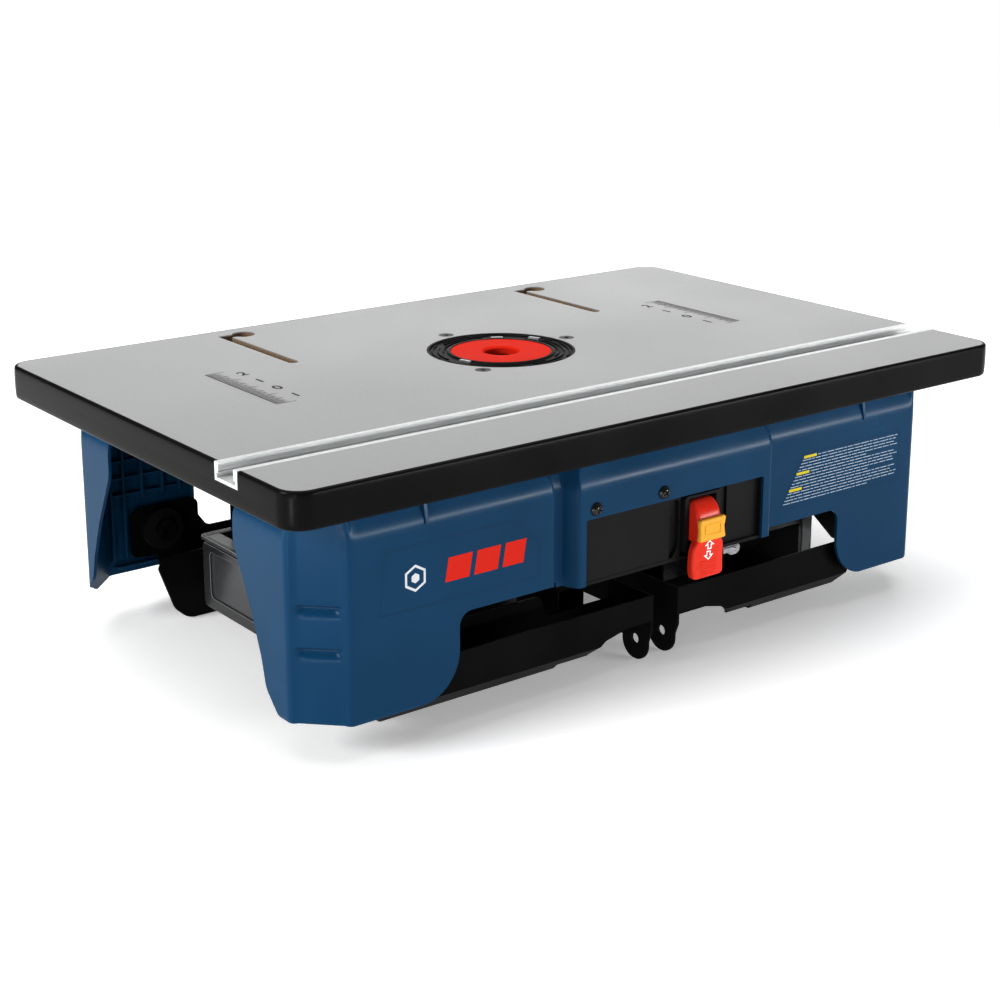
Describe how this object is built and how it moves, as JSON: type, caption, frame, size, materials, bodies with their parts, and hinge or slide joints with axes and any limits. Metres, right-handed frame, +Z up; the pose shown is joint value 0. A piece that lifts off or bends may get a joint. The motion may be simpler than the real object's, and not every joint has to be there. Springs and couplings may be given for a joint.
{
  "type": "router table",
  "caption": "Bench-top router table with a laminated top, mitre channel, round bit insert, fence slots, moulded skirts, paddle switch, sliding accessory trays and folding steel legs.",
  "frame": {"origin": "centre of the top's outline, on the surface that the folded table stands on", "axes": "+X along the length towards the right-hand end, +Y towards the back, +Z up, with the switch on the -Y side"},
  "size_m": [0.6604, 0.419, 0.206],
  "materials": {
    "core": "matt fibreboard",
    "laminate": "fine speckled high-pressure laminate, satin",
    "band": "black extruded edging, satin",
    "channel": "extruded, satin",
    "fastener_zinc": "zinc-plated steel",
    "fastener_black": "black oxide screws",
    "ring": "moulded, fine texture",
    "insert": "moulded, satin",
    "plate": "cast plate, machined face",
    "skirt": "moulded, fine texture",
    "switch_black": "moulded, satin",
    "switch_red": "moulded, semi-gloss",
    "switch_yellow": "moulded, semi-gloss",
    "bracket": "zinc-plated pressing",
    "leg_steel": "black powder coat",
    "hub": "moulded nylon",
    "tray": "smoked translucent moulding",
    "rail": "galvanised sheet"
  },
  "bodies": {
    "table": {"table_core": "core", "top_laminate": "laminate", "bottom_laminate": "laminate", "edge_band": "band", "mitre_channel": "channel", "mitre_channel_screws": "fastener_zinc", "support_ring": "ring", "insert_clips": "bracket", "router_mounting_plate": "plate", "mounting_plate_screws": "fastener_black", "front_skirt": "skirt", "rear_left_skirt": "skirt", "rear_right_skirt": "skirt", "skirt_screws": "fastener_black", "switch_box": "switch_black", "switch_cover_plate": "switch_black", "switch_box_screws": "fastener_black", "switch_bezel": "switch_black", "switch_body": "switch_black", "switch_bracket": "bracket", "router_outlet": "switch_black", "accessory_outlet": "switch_black", "cord_gland": "switch_black", "leg_pivot_bolts": "fastener_black", "leg_pivot_washers": "hub", "left_tray_rails": "rail", "right_tray_rails": "rail", "tray_rail_screws": "fastener_zinc"},
    "insert_ring": {"insert_ring": "insert"},
    "switch_paddle": {"switch_paddle": "switch_red"},
    "safety_key": {"safety_key": "switch_yellow"},
    "left_leg": {"left_front_leg_channel": "leg_steel", "left_rear_leg_channel": "leg_steel", "left_leg_crossbar": "leg_steel"},
    "right_leg": {"right_front_leg_channel": "leg_steel", "right_rear_leg_channel": "leg_steel", "right_leg_crossbar": "leg_steel"},
    "left_tray": {"left_storage_tray": "tray"},
    "right_tray": {"right_storage_tray": "tray"}
  },
  "joints": [
    {"name": "left_leg_fold", "type": "hinge", "parent": "table", "child": "left_leg", "pos_m": [-0.226, 0, 0.0624], "axis": [0, 1, 0], "range_deg": [0, 90]},
    {"name": "right_leg_fold", "type": "hinge", "parent": "table", "child": "right_leg", "pos_m": [0.2495, 0, 0.0624], "axis": [0, -1, 0], "range_deg": [0, 90]},
    {"name": "switch_paddle_pull", "type": "hinge", "parent": "table", "child": "switch_paddle", "pos_m": [0.0325, -0.183, 0.124], "axis": [-1, 0, 0], "range_deg": [0, 20]},
    {"name": "safety_key_slide", "type": "slide", "parent": "switch_paddle", "child": "safety_key", "axis": [0, -1, 0], "range_m": [0, 0.012]},
    {"name": "left_tray_slide", "type": "slide", "parent": "table", "child": "left_tray", "axis": [-1, 0, 0], "range_m": [0, 0.08]},
    {"name": "right_tray_slide", "type": "slide", "parent": "table", "child": "right_tray", "axis": [1, 0, 0], "range_m": [0, 0.08]},
    {"name": "insert_ring_twist", "type": "hinge", "parent": "table", "child": "insert_ring", "pos_m": [0, 0.014, 0.203], "axis": [0, 0, 1], "range_deg": [0, 20]}
  ]
}
